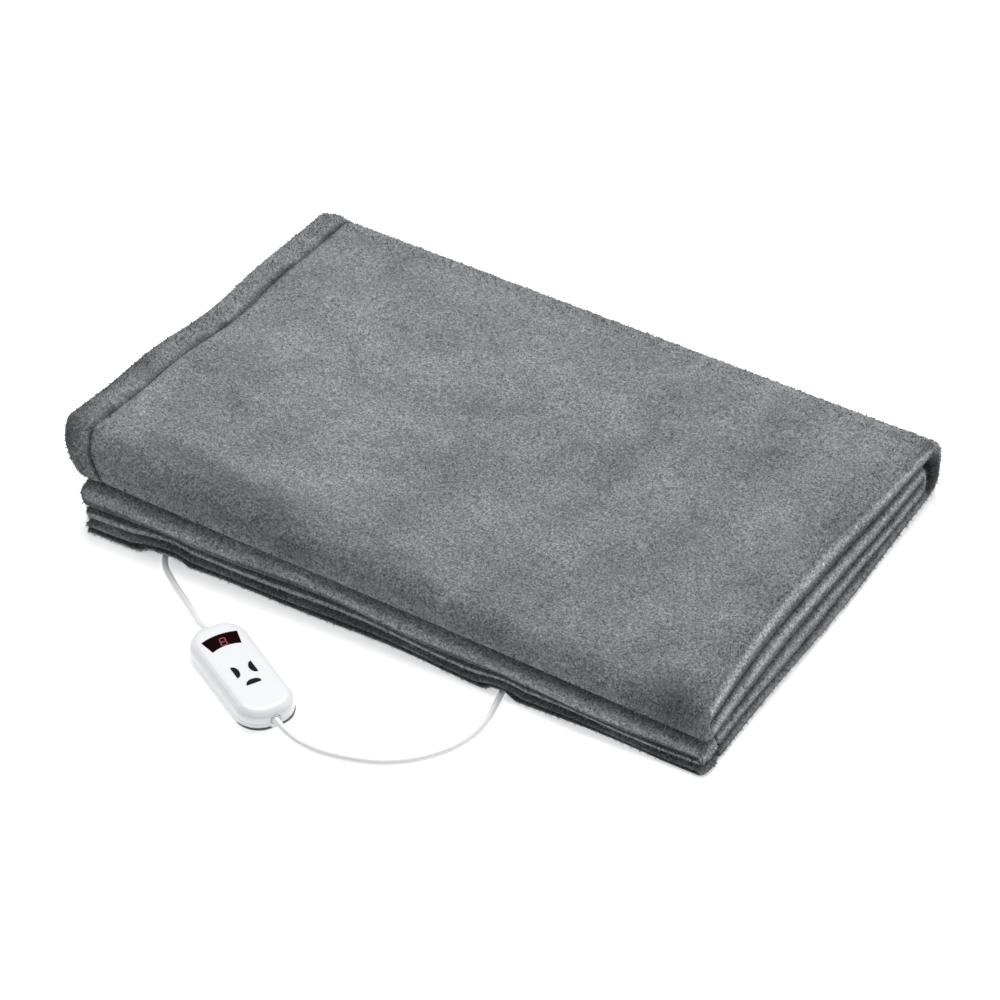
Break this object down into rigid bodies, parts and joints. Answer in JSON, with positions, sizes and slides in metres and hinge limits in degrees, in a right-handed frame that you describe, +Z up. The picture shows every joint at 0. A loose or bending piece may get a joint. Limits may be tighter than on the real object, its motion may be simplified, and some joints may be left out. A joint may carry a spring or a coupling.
{
  "type": "heated blanket",
  "caption": "Electric heated throw of grey plush fleece, folded flat into a pad, with an in-line push-button controller, a plug-in lead and a mains cord.",
  "frame": {"origin": "centre of the folded throw's underside, on the surface it lies on", "axes": "+X along the folded throw towards its right-hand fold, +Y from its front edge to its back, +Z up"},
  "size_m": [0.6523, 0.6453, 0.1072],
  "materials": {
    "grey_fleece": "short plush fleece, medium grey, cloudy nap",
    "grey_fleece_back": "short plush fleece, medium grey, back ply",
    "wire_insulation": "flexible silicone-type insulation",
    "white_plastic": "white moulded plastic, satin",
    "white_cord": "white flexible PVC",
    "black_plastic": "black moulded plastic, matte",
    "display_smoke": "near-black red tinted window, polished",
    "display_body": "pale plastic LED module",
    "board_green": "glass-epoxy board, green mask",
    "bright_metal": "nickel plated",
    "brass_contact": "plated brass",
    "capacitor_sleeve": "printed sleeve left plain",
    "fuse_ceramic": "ceramic tube",
    "tie_fabric": "black woven hook-and-loop tie"
  },
  "bodies": {
    "throw": {"back_fabric": "grey_fleece_back", "case_bottom": "white_plastic", "case_screw_1": "bright_metal", "case_screw_2": "bright_metal", "case_screw_3": "bright_metal", "case_screw_4": "bright_metal", "case_top": "white_plastic", "circuit_board": "board_green", "connector_plug": "white_plastic", "connector_strain_relief": "white_cord", "controller_chip": "black_plastic", "cord_hank": "white_cord", "display_module": "display_body", "display_window": "display_smoke", "face_fabric": "grey_fleece", "fuse": "fuse_ceramic", "hank_tie": "tie_fabric", "heater_triac": "black_plastic", "heating_wire": "wire_insulation", "lead_cord": "white_cord", "lead_grommet": "white_cord", "mains_cord": "white_cord", "mains_cord_tail": "white_cord", "mains_grommet": "white_cord", "mains_pin_1": "bright_metal", "mains_pin_2": "bright_metal", "mains_plug_body": "white_plastic", "mains_strain_relief": "white_cord", "socket_contact_1": "brass_contact", "socket_contact_2": "brass_contact", "socket_contact_3": "brass_contact", "socket_housing": "white_plastic", "supply_capacitor": "capacitor_sleeve", "switch_heat": "black_plastic", "switch_power": "black_plastic", "switch_timer": "black_plastic"},
    "button_timer": {"button_timer": "black_plastic"},
    "button_heat": {"button_heat": "black_plastic"},
    "button_power": {"button_power": "black_plastic"}
  },
  "joints": [
    {"name": "button_timer_press", "type": "slide", "parent": "throw", "child": "button_timer", "axis": [0, 0, -1], "range_m": [0, 0.0007], "stiffness_N_per_m": 400},
    {"name": "button_heat_press", "type": "slide", "parent": "throw", "child": "button_heat", "axis": [0, 0, -1], "range_m": [0, 0.0007], "stiffness_N_per_m": 400},
    {"name": "button_power_press", "type": "slide", "parent": "throw", "child": "button_power", "axis": [0, 0, -1], "range_m": [0, 0.0007], "stiffness_N_per_m": 400}
  ]
}
